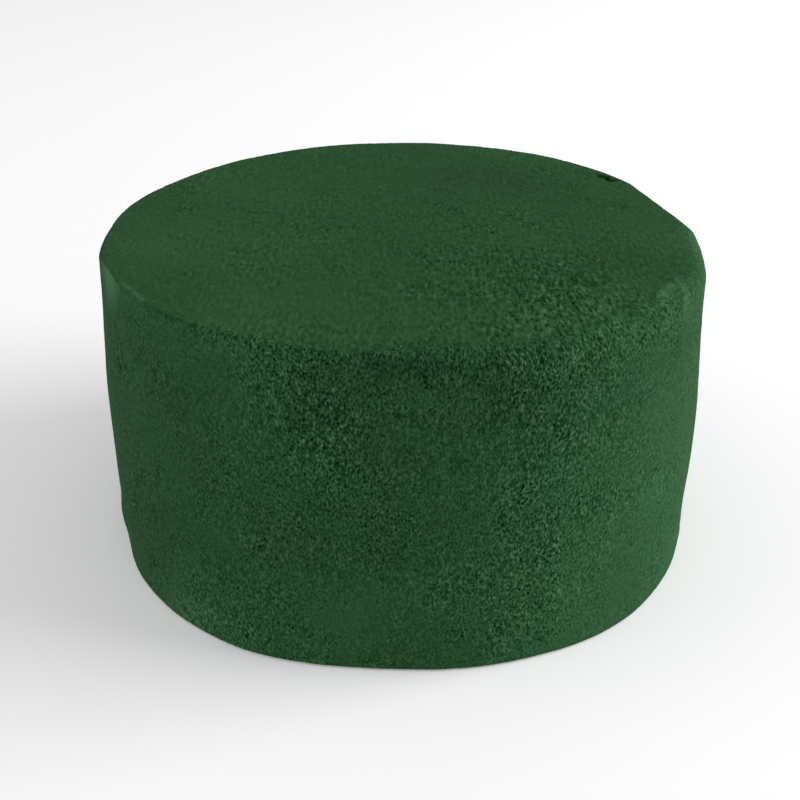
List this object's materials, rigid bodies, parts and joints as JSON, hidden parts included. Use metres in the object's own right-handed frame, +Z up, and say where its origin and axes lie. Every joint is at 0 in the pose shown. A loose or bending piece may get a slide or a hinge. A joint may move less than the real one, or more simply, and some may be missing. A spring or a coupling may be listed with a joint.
{
  "type": "floral foam block",
  "caption": "Round green block of floral foam that soaks up water and grips the cut stems pushed into it.",
  "frame": {"origin": "centre of the flat base, on the surface that the block stands on", "axes": "+Z up, along the axis of the round block; X and Y lie in the base, and the block is round about +Z"},
  "size_m": [0.08, 0.08, 0.04],
  "materials": {
    "foam": "matte"
  },
  "bodies": {
    "root": {"foam_block": "foam"}
  },
  "joints": []
}
